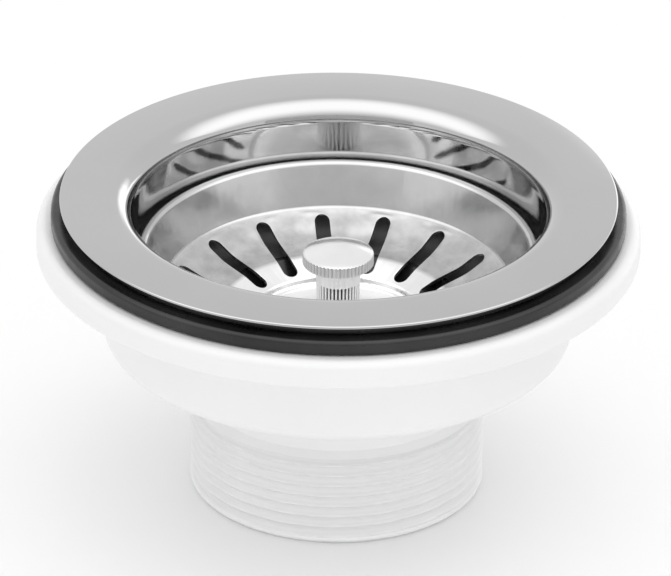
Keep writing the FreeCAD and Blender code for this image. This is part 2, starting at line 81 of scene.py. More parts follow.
def rounded(corners, closed=True, steps=10):
    """Turns (radius, height, bend) corners into points, with an arc and two support points at each bend."""
    support = 1.06
    points = []
    last = len(corners) - 1
    for index, (radius, height, bend) in enumerate(corners):
        corner = Vector((radius, height))
        if not bend or (not closed and index in (0, last)):
            points.append(corner)
            continue
        before = (Vector(corners[index - 1][:2]) - corner).normalized()
        after = (Vector(corners[(index + 1) % len(corners)][:2]) - corner).normalized()
        half = before.angle(after) / 2
        leg = bend / math.tan(half)
        centre = corner + (before + after).normalized() * bend / math.sin(half)
        spoke = corner + before * leg - centre
        end_spoke = corner + after * leg - centre
        turn = math.copysign(math.pi - 2 * half, spoke.cross(end_spoke))
        points.append(corner + before * leg * support)
        for step in range(steps + 1):
            points.append(centre + Matrix.Rotation(turn * step / steps, 2) @ spoke)
        points.append(corner + after * leg * support)
    return points


def turned(name, outline, closed=True, segments=256):
    """Draws an outline beside the axis, one point after another, and spins it into a turned piece."""
    bpy.ops.object.select_all(action="DESELECT")
    bpy.ops.mesh.primitive_circle_add(vertices=3, radius=MM)
    piece = bpy.context.object
    piece.name = name
    piece.data.name = name
    bpy.ops.object.mode_set(mode="EDIT")
    bpy.ops.mesh.select_mode(type="VERT")
    bpy.ops.mesh.select_all(action="SELECT")
    bpy.ops.mesh.merge(type="CENTER")
    here = outline[0]
    bpy.ops.transform.translate(value=(here[0] * MM, 0, here[1] * MM))
    way = list(outline[1:]) + ([outline[0]] if closed else [])
    for point in way:
        move = ((point[0] - here[0]) * MM, 0, (point[1] - here[1]) * MM)
        bpy.ops.mesh.extrude_vertices_move(TRANSFORM_OT_translate={"value": move})
        here = point
    bpy.ops.mesh.select_all(action="SELECT")
    bpy.ops.mesh.spin(steps=segments, angle=math.tau, center=(0, 0, 0), axis=(0, 0, 1))
    bpy.ops.mesh.select_all(action="SELECT")
    bpy.ops.mesh.remove_doubles(threshold=WELD * MM)
    bpy.ops.mesh.normals_make_consistent(inside=False)
    bpy.ops.object.mode_set(mode="OBJECT")
    return piece


def select_only(piece):
    """Selects one piece alone and makes it the active one."""
    bpy.ops.object.select_all(action="DESELECT")
    piece.select_set(True)
    bpy.context.view_layer.objects.active = piece


def smooth(piece, angle=35):
    """Shades a piece smooth, with its corners sharp."""
    select_only(piece)
    bpy.ops.object.shade_smooth_by_angle(angle=math.radians(angle))


def apply_modifiers(piece):
    """Applies a piece's modifiers in their order."""
    select_only(piece)
    for modifier in list(piece.modifiers):
        bpy.ops.object.modifier_apply(modifier=modifier.name)


def combine(piece, tool, operation):
    """Adds a tool's shape to a piece, or cuts it out of the piece, and removes the tool."""
    modifier = piece.modifiers.new("combine", "BOOLEAN")
    modifier.operation = operation
    modifier.solver = "EXACT"
    modifier.object = tool
    apply_modifiers(piece)
    bpy.data.objects.remove(tool)


def soften_edges(piece, width, segments=3, angle=60):
    """Rounds the edges of a piece that are sharper than an angle."""
    edges = piece.modifiers.new("edges", "BEVEL")
    edges.width = width * MM
    edges.segments = segments
    edges.limit_method = "ANGLE"
    edges.angle_limit = math.radians(angle)
    apply_modifiers(piece)


def feed(tree, socket, value):
    """Gives an input its value, or links it to another node's output."""
    if isinstance(value, bpy.types.NodeSocket):
        tree.links.new(value, socket)
    else:
        socket.default_value = value


def add_node(tree, kind, *values, operation=None, **inputs):
    """Adds a shader node and feeds its inputs, the first ones in their order and others by their names."""
    node = tree.nodes.new(kind)
    if operation:
        node.operation = operation
    for index, value in enumerate(values):
        feed(tree, node.inputs[index], value)
    for name, value in inputs.items():
        feed(tree, node.inputs[name.replace("_", " ")], value)
    return node


def reckon(tree, operation, first, second):
    """The result of an operation on two numbers."""
    return add_node(tree, "ShaderNodeMath", first, second, operation=operation).outputs["Value"]


def blend(tree, share, low, high, kind="FLOAT"):
    """The output of a mix that goes from low to high as the share goes from nought to one."""
    low_socket, high_socket, output = {"FLOAT": (2, 3, 0), "RGBA": (6, 7, 2)}[kind]
    mix = add_node(tree, "ShaderNodeMix")
    mix.data_type = kind
    feed(tree, mix.inputs["Factor"], share)
    feed(tree, mix.inputs[low_socket], low)
    feed(tree, mix.inputs[high_socket], high)
    return mix.outputs[output]


def new_material(name, **inputs):
    """A material with these inputs of its shader set. Gives the material, its tree and the shader."""
    material = bpy.data.materials.new(name)
    material.use_nodes = True
    tree = material.node_tree
    shader = tree.nodes["Principled BSDF"]
    for socket, value in inputs.items():
        shader.inputs[socket.replace("_", " ")].default_value = value
    return material, tree, shader


def add_bump(tree, shader, height, strength, distance):
    """Raises the surface by a height that changes over it."""
    bump = add_node(tree, "ShaderNodeBump", Strength=strength, Distance=distance, Height=height)
    feed(tree, shader.inputs["Normal"], bump.outputs["Normal"])


def new_group(name, inputs, output):
    """A node group of numbers. Gives the group, its inputs as they arrive inside, and its one output."""
    group = bpy.data.node_groups.new(name, "ShaderNodeTree")
    for socket, value in inputs.items():
        made = group.interface.new_socket(socket, in_out="INPUT", socket_type="NodeSocketFloat")
        made.default_value = value
    group.interface.new_socket(output, in_out="OUTPUT", socket_type="NodeSocketFloat")
    given = group.nodes.new("NodeGroupInput").outputs
    return group, given, group.nodes.new("NodeGroupOutput").inputs[output]


def add_group(tree, group, **inputs):
    """Places a node group in a material with its own values, and gives its output."""
    node = tree.nodes.new("ShaderNodeGroup")
    node.node_tree = group
    for name, value in inputs.items():
        node.inputs[name].default_value = value
    return node.outputs[0]


def place_parts(tree):
    """The three parts X, Y and Z of a place on the piece, in metres."""
    place = add_node(tree, "ShaderNodeTexCoord").outputs["Object"]
    return add_node(tree, "ShaderNodeSeparateXYZ", Vector=place).outputs


def from_axis(tree, parts, operation):
    """The outputs of an operation on a place's flat way out from the axis."""
    flat = add_node(tree, "ShaderNodeCombineXYZ", X=parts["X"], Y=parts["Y"]).outputs["Vector"]
    return add_node(tree, "ShaderNodeVectorMath", flat, operation=operation).outputs


# slow changes of tone, as in a moulding's flow or on handled metal
tone_drift, given, result = new_group(
    "tone_drift", {"Scale": 40.0, "Lowest": 0.0, "Highest": 1.0, "Detail": 3.0}, "Value")
place = add_node(tone_drift, "ShaderNodeTexCoord").outputs["Object"]
noise = add_node(tone_drift, "ShaderNodeTexNoise",
                 Vector=place, Scale=given["Scale"], Detail=given["Detail"])
drift = add_node(tone_drift, "ShaderNodeMapRange", Value=noise.outputs["Fac"], From_Min=0.3, From_Max=0.7,
                 To_Min=given["Lowest"], To_Max=given["Highest"])
feed(tone_drift, result, drift.outputs["Result"])

# single small specks, as of dust or of pigment
specks, given, result = new_group("specks", {"Scale": 150.0, "Size": 0.03, "Share": 0.2}, "Mask")
place = add_node(specks, "ShaderNodeTexCoord").outputs["Object"]
cells = add_node(specks, "ShaderNodeTexVoronoi", Vector=place, Scale=given["Scale"]).outputs
channels = add_node(specks, "ShaderNodeSeparateColor", Color=cells["Color"]).outputs
small = reckon(specks, "LESS_THAN", cells["Distance"], given["Size"])
chosen = reckon(specks, "LESS_THAN", channels["Red"], given["Share"])
feed(specks, result, reckon(specks, "MULTIPLY", small, chosen))

# how high a place lies, from nought below one height to one above another
height_share, given, result = new_group("height_share", {"Low": 0.04, "High": 0.05}, "Share")
parts = place_parts(height_share)
share = add_node(height_share, "ShaderNodeMapRange",
                 Value=parts["Z"], From_Min=given["Low"], From_Max=given["High"])
feed(height_share, result, share.outputs["Result"])

# how far a place lies from the axis, from nought inside one radius to one outside another
radius_share, given, result = new_group("radius_share", {"Low": 0.01, "High": 0.02}, "Share")
away = from_axis(radius_share, place_parts(radius_share), "LENGTH")["Value"]
share = add_node(radius_share, "ShaderNodeMapRange",
                 Value=away, From_Min=given["Low"], From_Max=given["High"])
feed(radius_share, result, share.outputs["Result"])

# the thread's wall is drawn as a row of close rings, which the helix then moves in and out
thread_count = round((THREAD_END - THREAD_START) / THREAD_PITCH * THREAD_RINGS)
thread_step = (THREAD_END - THREAD_START) / thread_count
body_outline = [Vector((OUTLET_BORE, 0.0)), Vector((THREAD_RADIUS - THREAD_START, 0.0))]
body_outline += [
    Vector((THREAD_RADIUS, THREAD_START + thread_step * index)) for index in range(thread_count + 1)]
body_outline += rounded([
    (THREAD_RADIUS, THREAD_END, None),
    (NECK_RADIUS, NECK_FOOT, EDGE_ROUND),
    (NECK_RADIUS, CHAMBER_BOTTOM, EDGE_ROUND),
    (CHAMBER_RADIUS, CHAMBER_BOTTOM, CHAMBER_BEND),
    (CHAMBER_RADIUS, RIM_BOTTOM, EDGE_ROUND),
    (RIM_RADIUS, RIM_BOTTOM, RIM_LOWER_BEND),
    (RIM_RADIUS, RIM_TOP, RIM_UPPER_BEND),
    (CHAMBER_BORE, RIM_TOP, EDGE_ROUND),
    (CHAMBER_BORE, CHAMBER_FLOOR, EDGE_ROUND),
    (OUTLET_BORE, CHAMBER_FLOOR, None),
], closed=False)[1:]
waste_body = turned("white_body", body_outline)
for vertex in waste_body.data.vertices:
    height = vertex.co.z / MM
    radius = vertex.co.xy.length / MM
    if radius < THREAD_RADIUS - TOLERANCE or height > THREAD_END + TOLERANCE:
        continue
    phase = height / THREAD_PITCH - math.atan2(vertex.co.y, vertex.co.x) / math.tau
    groove = (0.5 - 0.5 * math.cos(phase * math.tau)) ** GROOVE_FULLNESS
    lead_in = max(0.0, (height - LEAD_IN_START) / LEAD_IN_LENGTH)
    run_out = max(0.0, (THREAD_END - height) / RUN_OUT_LENGTH)
    vertex.co.xy *= 1 - THREAD_DEPTH * groove * min(1.0, lead_in, run_out) / THREAD_RADIUS

spider_middle = (SPIDER_BOTTOM + SPIDER_DEPTH / 2) * MM
bpy.ops.object.select_all(action="DESELECT")
bpy.ops.mesh.primitive_cylinder_add(
    vertices=128, radius=BOSS_RADIUS * MM, depth=SPIDER_DEPTH * MM, location=(0, 0, spider_middle))
spider = bpy.context.object
bpy.ops.object.transform_apply(location=True)
for angle in (0, math.pi / 2):
    bpy.ops.object.select_all(action="DESELECT")
    bpy.ops.mesh.primitive_cube_add(size=1, location=(0, 0, spider_middle), rotation=(0, 0, angle))
    arm = bpy.context.object
    bpy.ops.transform.resize(value=(2 * ARM_REACH * MM, ARM_WIDTH * MM, SPIDER_DEPTH * MM),
                             orient_type="LOCAL")
    bpy.ops.object.transform_apply()
    combine(spider, arm, "UNION")
bpy.ops.mesh.primitive_cylinder_add(
    vertices=96, radius=BOLT_HOLE * MM, depth=3 * SPIDER_DEPTH * MM, location=(0, 0, spider_middle))
combine(spider, bpy.context.object, "DIFFERENCE")
bpy.ops.mesh.primitive_cylinder_add(
    vertices=6, radius=NUT_SEAT_CORNER * MM, depth=2 * NUT_SEAT_DEPTH * MM,
    location=(0, 0, SPIDER_BOTTOM * MM), rotation=(0, 0, math.pi / 6))
combine(spider, bpy.context.object, "DIFFERENCE")
soften_edges(spider, SPIDER_EDGE, segments=2, angle=50)
select_only(waste_body)
spider.select_set(True)
bpy.ops.object.join()
smooth(waste_body)

white_plastic, tree, shader = new_material("white_plastic", Specular_IOR_Level=0.45)
# painted shade: the thread's grooves, and the outlet's bore and spider below the thread's top, are painted
# a darker grey, and its crests stay white
crest_share = add_group(tree, radius_share, Low=0.0292, High=0.02972)
above_thread = add_group(tree, height_share, Low=0.0192, High=0.0196)
unshaded_share = reckon(tree, "MAXIMUM", crest_share, above_thread)
unshaded_tone = add_group(tree, tone_drift, Scale=28.0, Lowest=0.89, Highest=0.92)
# the grey that is painted in the grooves where shade falls
groove_shade_tone = 0.83
plastic_tone = blend(tree, unshaded_share, groove_shade_tone, unshaded_tone)
plastic_specks = add_group(tree, specks, Scale=170.0, Size=0.022, Share=0.25)
plastic_colour = blend(tree, plastic_specks, plastic_tone, (0.62, 0.61, 0.6, 1), "RGBA")
feed(tree, shader.inputs["Base Color"], plastic_colour)
plastic_gloss = add_group(tree, tone_drift, Scale=90.0, Lowest=0.3, Highest=0.42)
feed(tree, shader.inputs["Roughness"], plastic_gloss)
plastic_grain = add_group(tree, tone_drift, Scale=900.0, Detail=2.0)
add_bump(tree, shader, plastic_grain, strength=0.25, distance=0.00002)
waste_body.data.materials.append(white_plastic)
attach(waste_body, "waste")
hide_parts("waste_body")


# The nut is a turned hexagon of brass, pushed into the boss from below, flush with its face.
# It keeps its solid from the frame and gets machined brass with the lines of the facing tool.
turning_lines, given, result = new_group("turning_lines", {"Spacing": 5000.0}, "Height")
parts = place_parts(turning_lines)
away = from_axis(turning_lines, parts, "LENGTH")["Value"]
lines = add_node(turning_lines, "ShaderNodeTexNoise", Detail=2.0, Scale=given["Spacing"])
lines.noise_dimensions = "1D"
feed(turning_lines, lines.inputs["W"], reckon(turning_lines, "ADD", away, parts["Z"]))
feed(turning_lines, result, lines.outputs["Fac"])


def machined(name, low, high, gloss, spacing):
    """Turned metal: a tone between two colours, and the fine rings that a tool leaves."""
    material, tree, shader = new_material(name, Metallic=1.0)
    tone = blend(tree, add_group(tree, tone_drift, Scale=120.0), low, high, "RGBA")
    feed(tree, shader.inputs["Base Color"], tone)
    spread = 0.1
    rough = add_group(tree, tone_drift, Scale=260.0, Lowest=gloss, Highest=gloss + spread)
    feed(tree, shader.inputs["Roughness"], rough)
    rings = add_group(tree, turning_lines, Spacing=spacing)
    add_bump(tree, shader, rings, strength=0.3, distance=0.00002)
    return material


def finish_node(node, material):
    """Gives a solid of the frame a better material."""
    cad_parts[node].material_slots[0].material = material


brass = machined("machined_brass", low=(0.62, 0.44, 0.17, 1), high=(0.72, 0.54, 0.24, 1),
                 gloss=0.22, spacing=6000.0)
finish_node("clamp_nut", brass)


# The lower seal is a thick ring of smooth black rubber that lies loose on the rim.
# It is turned with rounded outer edges and has the slight gloss and dust of moulded rubber.
LOWER_SEAL_RADIUS = 57.75
LOWER_SEAL_TOP = 61.0
LOWER_SEAL_BEND = 0.9
lower_seal = turned("lower_rubber_ring", rounded([
    (CHAMBER_BORE, RIM_TOP, EDGE_ROUND),
    (LOWER_SEAL_RADIUS, RIM_TOP, LOWER_SEAL_BEND),
    (LOWER_SEAL_RADIUS, LOWER_SEAL_TOP, LOWER_SEAL_BEND),
    (CHAMBER_BORE, LOWER_SEAL_TOP, EDGE_ROUND),
]))
smooth(lower_seal)
black_rubber, tree, shader = new_material("black_rubber", Specular_IOR_Level=0.42)
rubber_tone = add_group(tree, tone_drift, Scale=45.0, Lowest=0.006, Highest=0.026)
rubber_dust = add_group(tree, specks, Scale=420.0, Size=0.05, Share=0.1)
rubber_colour = blend(tree, rubber_dust, rubber_tone, (0.12, 0.12, 0.12, 1), "RGBA")
feed(tree, shader.inputs["Base Color"], rubber_colour)
rubber_gloss = add_group(tree, tone_drift, Scale=110.0, Lowest=0.22, Highest=0.36)
feed(tree, shader.inputs["Roughness"], rubber_gloss)
rubber_waves = add_group(tree, tone_drift, Scale=140.0, Detail=1.0)
add_bump(tree, shader, rubber_waves, strength=0.35, distance=0.0002)
lower_seal.data.materials.append(black_rubber)
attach(lower_seal, "waste")
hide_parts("lower_seal")


# The upper seal is a thinner ring of the same rubber, just inside the flange's edge.
# It lies between the flange and the lower seal, round the outside of the cup's lip.
UPPER_SEAL_BORE = 46.0
UPPER_SEAL_RADIUS = 54.8
UPPER_SEAL_TOP = 62.7
UPPER_SEAL_BEND = 0.7
upper_seal = turned("upper_rubber_ring", rounded([
    (UPPER_SEAL_BORE, LOWER_SEAL_TOP, EDGE_ROUND),
    (UPPER_SEAL_RADIUS, LOWER_SEAL_TOP, UPPER_SEAL_BEND),
    (UPPER_SEAL_RADIUS, UPPER_SEAL_TOP, UPPER_SEAL_BEND),
    (UPPER_SEAL_BORE, UPPER_SEAL_TOP, EDGE_ROUND),
]))
smooth(upper_seal)
upper_seal.data.materials.append(black_rubber)
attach(upper_seal, "waste")
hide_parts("upper_seal")


# The cup is one disc of stainless sheet, deep drawn into a flange, a wall, a floor and a drained well,
# and polished bright. Its lip rolls over the sink's edge, and twelve holes drain the well.
CUP_SHEET = 0.8
CUP_WALL = 41.3
CUP_FLOOR = 35.9
CUP_FLOOR_BEND = 8.0
LIP_BEND = 4.5
FLANGE_RADIUS = 56.0
FLANGE_TOP = 63.5
FLANGE_EDGE = 0.34
WELL_WALL = 25.0
WELL_FLOOR = 20.0
WELL_FLOOR_BEND = 3.0
WELL_MOUTH_BEND = 1.5
DRAIN_RADIUS = 2.5
DRAIN_CIRCLE = 16.0
DRAIN_COUNT = 12
HOLE_EDGE = 0.1


def face_up(piece):
    """Turns an open sheet's faces so that its upper side is the outer one."""
    if sum(face.normal.z * face.area for face in piece.data.polygons) < 0:
        select_only(piece)
        bpy.ops.object.mode_set(mode="EDIT")
        bpy.ops.mesh.select_all(action="SELECT")
        bpy.ops.mesh.flip_normals()
        bpy.ops.object.mode_set(mode="OBJECT")


def thicken(piece, sheet):
    """Gives a sheet its thickness below the surface that was drawn."""
    solid = piece.modifiers.new("sheet", "SOLIDIFY")
    solid.thickness = sheet * MM
    solid.offset = -1
    solid.use_even_offset = True
    apply_modifiers(piece)


def copy_round(count):
    """Copies what is selected in edit mode evenly round the axis."""
    bpy.ops.mesh.spin(steps=count - 1, dupli=True, angle=math.tau * (count - 1) / count,
                      center=(0, 0, 0), axis=(0, 0, 1))


strainer_cup = turned("steel_cup", rounded([
    (BOLT_HOLE, WELL_FLOOR, None),
    (WELL_WALL, WELL_FLOOR, WELL_FLOOR_BEND),
    (WELL_WALL, CUP_FLOOR, WELL_MOUTH_BEND),
    (CUP_WALL, CUP_FLOOR, CUP_FLOOR_BEND),
    (CUP_WALL, FLANGE_TOP, LIP_BEND),
    (FLANGE_RADIUS, FLANGE_TOP, None),
], closed=False, steps=16), closed=False, segments=320)
face_up(strainer_cup)
thicken(strainer_cup, CUP_SHEET)
soften_edges(strainer_cup, FLANGE_EDGE)
bpy.ops.object.select_all(action="DESELECT")
bpy.ops.mesh.primitive_cylinder_add(
    vertices=48, radius=DRAIN_RADIUS * MM, depth=4 * CUP_SHEET * MM,
    location=(DRAIN_CIRCLE * MM, 0, WELL_FLOOR * MM))
drills = bpy.context.object
bpy.ops.object.transform_apply(location=True)
bpy.ops.object.mode_set(mode="EDIT")
bpy.ops.mesh.select_all(action="SELECT")
copy_round(DRAIN_COUNT)
bpy.ops.object.mode_set(mode="OBJECT")
combine(strainer_cup, drills, "DIFFERENCE")
soften_edges(strainer_cup, HOLE_EDGE)
smooth(strainer_cup)

# drawn metal keeps faint upright waves on its walls, in direction from the axis and height
drawn_waves, given, result = new_group("drawn_waves", {"Around": 9.0, "Upright": 60.0}, "Height")
parts = place_parts(drawn_waves)
way = from_axis(drawn_waves, parts, "NORMALIZE")["Vector"]
turn = add_node(drawn_waves, "ShaderNodeVectorMath", way, operation="SCALE", Scale=given["Around"])
rise = add_node(drawn_waves, "ShaderNodeCombineXYZ",
                Z=reckon(drawn_waves, "MULTIPLY", parts["Z"], given["Upright"]))
spot = add_node(drawn_waves, "ShaderNodeVectorMath", turn.outputs["Vector"], rise.outputs["Vector"],
                operation="ADD")
waves = add_node(drawn_waves, "ShaderNodeTexNoise", Vector=spot.outputs["Vector"], Scale=1.0, Detail=1.5)
feed(drawn_waves, result, waves.outputs["Fac"])

# the flange is greyer than the wall; the lower half that the basket covers is dull, and painted darker as
# shade
polished_steel, tree, shader = new_material("polished_steel", Metallic=1.0)
flange_tone = add_group(tree, tone_drift, Scale=35.0, Lowest=0.48, Highest=0.5)
wall_tone = add_group(tree, tone_drift, Scale=35.0, Lowest=0.58, Highest=0.62)
above_wall = add_group(tree, height_share, Low=0.0585, High=0.0605)
above_floor = add_group(tree, height_share, Low=0.038, High=0.044)
upper_tone = blend(tree, above_wall, wall_tone, flange_tone)
# painted shade in the cup below the basket's seat
covered_shade_tone = 0.32
feed(tree, shader.inputs["Base Color"], blend(tree, above_floor, covered_shade_tone, upper_tone))
steel_gloss = add_group(tree, tone_drift, Scale=200.0, Lowest=0.045, Highest=0.085)
covered_gloss = 0.5
above_gap = add_group(tree, height_share, Low=0.046, High=0.053)
feed(tree, shader.inputs["Roughness"], blend(tree, above_gap, covered_gloss, steel_gloss))
steel_waves = add_group(tree, drawn_waves, Around=9.0, Upright=70.0)
add_bump(tree, shader, steel_waves, strength=0.25, distance=0.0001)
strainer_cup.data.materials.append(polished_steel)
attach(strainer_cup, "waste")
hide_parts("strainer_cup")


# The washer and the hollow bolt are turned from plain stainless bar: the washer lies on the well's floor,
# and the slotted bolt pulls the cup down to the nut. The solids stay, with fine turning lines.
turned_steel = machined("turned_steel", low=(0.5, 0.5, 0.5, 1), high=(0.58, 0.58, 0.57, 1),
                        gloss=0.2, spacing=5000.0)
finish_node("bolt_washer", turned_steel)
finish_node("clamp_bolt", turned_steel)


# The basket is pressed from thin stainless sheet: a flat pan, a step, a slotted bowl, a leaning wall
# and a rolled bead. One slotted sector is drawn flat, copied round, pressed to the bowl's curve,
# and the wall and the pan are drawn out from its edges.
BASKET_SHEET = 0.6
POST_HOLE = 2.55
PAN_RADIUS = 17.5
PAN_TOP = 34.5
STEP_RADIUS = 18.1
STEP_TOP = 35.9
CREASE_RADIUS = 23.0
CREASE_HEIGHT = 38.0
CREASE_BEND = 6.0
KNEE_RADIUS = 28.9
KNEE_HEIGHT = 39.6
KNEE_BEND = 10.0
WALL_FOOT_RADIUS = 35.2
WALL_FOOT = 42.9
WALL_TOP_RADIUS = 38.3
WALL_TOP = 50.9
PRESS_BEND = 1.0
BEAD_RADIUS = 1.1
BEAD_TURN = math.radians(290)
BEAD_STEPS = 40
BAND_INNER = 18.6
BAND_OUTER = 34.85
SLOT_COUNT = 16
SLOT_PHASE = math.radians(6)
SLOT_HALF = 1.55
SLOT_NEAR = 20.55
SLOT_FAR = 32.05
ARC_OUTER = 20
ARC_INNER = 14
SIDE = 16
SECTOR_LOOPS = 6
PUCKER_DEPTH = 0.1
PUCKER_RADIUS = 33.9
PUCKER_WIDTH = 0.45
# the share, the number round the axis and the shift of the puckers that lie between the slots
RIPPLES = ((0.7, 29, 1), (0.5, 11, 0))
basket_path = rounded([
    (POST_HOLE, PAN_TOP, None),
    (PAN_RADIUS, PAN_TOP, PRESS_BEND),
    (STEP_RADIUS, STEP_TOP, PRESS_BEND),
    (CREASE_RADIUS, CREASE_HEIGHT, CREASE_BEND),
    (KNEE_RADIUS, KNEE_HEIGHT, KNEE_BEND),
    (WALL_FOOT_RADIUS, WALL_FOOT, PRESS_BEND),
    (WALL_TOP_RADIUS, WALL_TOP, None),
], closed=False, steps=24)
wall_way = Vector((WALL_TOP_RADIUS - WALL_FOOT_RADIUS, WALL_TOP - WALL_FOOT)).normalized()
bead_spoke = Vector((-wall_way.y, wall_way.x)) * BEAD_RADIUS
bead_centre = basket_path[-1] - bead_spoke
for step in range(1, BEAD_STEPS + 1):
    basket_path.append(bead_centre + Matrix.Rotation(-BEAD_TURN * step / BEAD_STEPS, 2) @ bead_spoke)


def height_at(radius):
    """The height of the pressed bowl at a radius."""
    for low, high in zip(basket_path, basket_path[1:]):
        if low.x <= radius <= high.x:
            share = (radius - low.x) / max(high.x - low.x, 1e-9)
            return low.y + (high.y - low.y) * share
    return basket_path[-1].y


def closed_loop(points):
    """A closed flat loop of points, in millimetres, made from a circle."""
    bpy.ops.object.select_all(action="DESELECT")
    bpy.ops.mesh.primitive_circle_add(vertices=len(points), radius=MM)
    loop = bpy.context.object
    for vertex, (across, along) in zip(loop.data.vertices, points):
        vertex.co = (across * MM, along * MM, 0)
    return loop


def polar(radius, angle):
    """A point in the plane, from its radius and angle."""
    return Vector((radius * math.cos(angle), radius * math.sin(angle)))


half_sector = math.pi / SLOT_COUNT
slot_points = []
sector_points = []
for step in range(ARC_OUTER):
    share = step / ARC_OUTER
    slot_points.append(Vector((SLOT_FAR, 0)) + polar(SLOT_HALF, math.pi * (share - 0.5)))
    sector_points.append(polar(BAND_OUTER, half_sector * (2 * share - 1)))
for step in range(SIDE):
    share = step / SIDE
    slot_points.append(Vector((SLOT_FAR + (SLOT_NEAR - SLOT_FAR) * share, SLOT_HALF)))
    sector_points.append(polar(BAND_OUTER + (BAND_INNER - BAND_OUTER) * share, half_sector))
for step in range(ARC_INNER):
    share = step / ARC_INNER
    slot_points.append(Vector((SLOT_NEAR, 0)) + polar(SLOT_HALF, math.pi * (share + 0.5)))
    sector_points.append(polar(BAND_INNER, half_sector * (1 - 2 * share)))
for step in range(SIDE):
    share = step / SIDE
    slot_points.append(Vector((SLOT_NEAR + (SLOT_FAR - SLOT_NEAR) * share, -SLOT_HALF)))
    sector_points.append(polar(BAND_INNER + (BAND_OUTER - BAND_INNER) * share, -half_sector))
turn_to_phase = Matrix.Rotation(SLOT_PHASE, 2)
slot_loop = closed_loop([turn_to_phase @ point for point in slot_points])
basket_bowl = closed_loop([turn_to_phase @ point for point in sector_points])
basket_bowl.name = "steel_basket"
basket_bowl.data.name = "steel_basket"
slot_loop.select_set(True)
bpy.ops.object.join()
bpy.ops.object.mode_set(mode="EDIT")
bpy.ops.mesh.select_all(action="SELECT")
bpy.ops.mesh.bridge_edge_loops(number_cuts=SECTOR_LOOPS, interpolation="LINEAR")
bpy.ops.mesh.select_all(action="SELECT")
copy_round(SLOT_COUNT)
bpy.ops.mesh.select_all(action="SELECT")
bpy.ops.mesh.remove_doubles(threshold=TOLERANCE * MM)
bpy.ops.object.mode_set(mode="OBJECT")
# the press leaves small puckers round the foot of the wall, one beyond each slot and some between
for vertex in basket_bowl.data.vertices:
    radius = vertex.co.xy.length / MM
    angle = math.atan2(vertex.co.y, vertex.co.x)
    ripple = math.cos(SLOT_COUNT * (angle - SLOT_PHASE))
    ripple += sum(share * math.sin(count * angle + shift) for share, count, shift in RIPPLES)
    pucker = PUCKER_DEPTH * ripple * math.exp(-((radius - PUCKER_RADIUS) / PUCKER_WIDTH) ** 2)
    vertex.co.z = (height_at(radius) + pucker) * MM


def draw_out(piece, from_radius, points):
    """Selects the ring of edges at a radius and draws it out, ring by ring, along the points."""
    bpy.ops.object.mode_set(mode="EDIT")
    bpy.ops.mesh.select_mode(type="VERT")
    bpy.ops.mesh.select_all(action="DESELECT")
    bpy.ops.object.mode_set(mode="OBJECT")
    for vertex in piece.data.vertices:
        vertex.select = abs(vertex.co.xy.length / MM - from_radius) < WELD
    bpy.ops.object.mode_set(mode="EDIT")
    bpy.ops.mesh.select_mode(type="EDGE")
    here = Vector((from_radius, height_at(from_radius)))
    for point in points:
        bpy.ops.mesh.extrude_edges_move(TRANSFORM_OT_translate={"value": (0, 0, (point.y - here.y) * MM)})
        scale = point.x / here.x
        bpy.ops.transform.resize(value=(scale, scale, 1), center_override=(0, 0, 0))
        here = point
    bpy.ops.object.mode_set(mode="OBJECT")


def place_along_path(radius):
    """The index of the first point of the basket's path that lies past a radius."""
    return next(index for index, point in enumerate(basket_path) if point.x > radius + TOLERANCE)


draw_out(basket_bowl, BAND_OUTER, basket_path[place_along_path(BAND_OUTER):])
draw_out(basket_bowl, BAND_INNER, [point for point in reversed(basket_path[:place_along_path(BAND_INNER)])
                                   if point.x < BAND_INNER - TOLERANCE])
bpy.ops.object.mode_set(mode="EDIT")
bpy.ops.mesh.select_all(action="SELECT")
bpy.ops.mesh.remove_doubles(threshold=WELD * MM)
bpy.ops.mesh.normals_make_consistent(inside=False)
bpy.ops.object.mode_set(mode="OBJECT")
face_up(basket_bowl)
thicken(basket_bowl, BASKET_SHEET)
soften_edges(basket_bowl, HOLE_EDGE)
smooth(basket_bowl)

# the bowl is painted bright inside as a highlight, is scuffed and duller across the slots, and greyer up
# the wall
pressed_steel, tree, shader = new_material("pressed_steel", Metallic=1.0)
# the pan's brightness is a painted highlight
inner_highlight_tone = add_group(tree, tone_drift, Scale=110.0, Lowest=0.78, Highest=0.86, Detail=5.0)
outer_tone = add_group(tree, tone_drift, Scale=260.0, Lowest=0.36, Highest=0.54, Detail=8.0)
side_tone = add_group(tree, tone_drift, Scale=60.0, Lowest=0.48, Highest=0.6, Detail=5.0)
outer_share = add_group(tree, radius_share, Low=0.0228, High=0.0238)
side_share = add_group(tree, height_share, Low=0.0418, High=0.0434)
bowl_tone = blend(tree, outer_share, inner_highlight_tone, outer_tone)
feed(tree, shader.inputs["Base Color"], blend(tree, side_share, bowl_tone, side_tone))
basket_gloss = add_group(tree, tone_drift, Scale=160.0, Lowest=0.1, Highest=0.26, Detail=5.0)
band_share = add_group(tree, radius_share, Low=0.0255, High=0.0295)
band_gloss = 0.34
bowl_gloss = blend(tree, band_share, basket_gloss, band_gloss)
feed(tree, shader.inputs["Roughness"], blend(tree, side_share, bowl_gloss, basket_gloss))
basket_waves = add_group(tree, drawn_waves, Around=14.0, Upright=160.0)
add_bump(tree, shader, basket_waves, strength=0.3, distance=0.00015)
basket_bowl.data.materials.append(pressed_steel)
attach(basket_bowl, "basket")
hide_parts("basket_bowl")


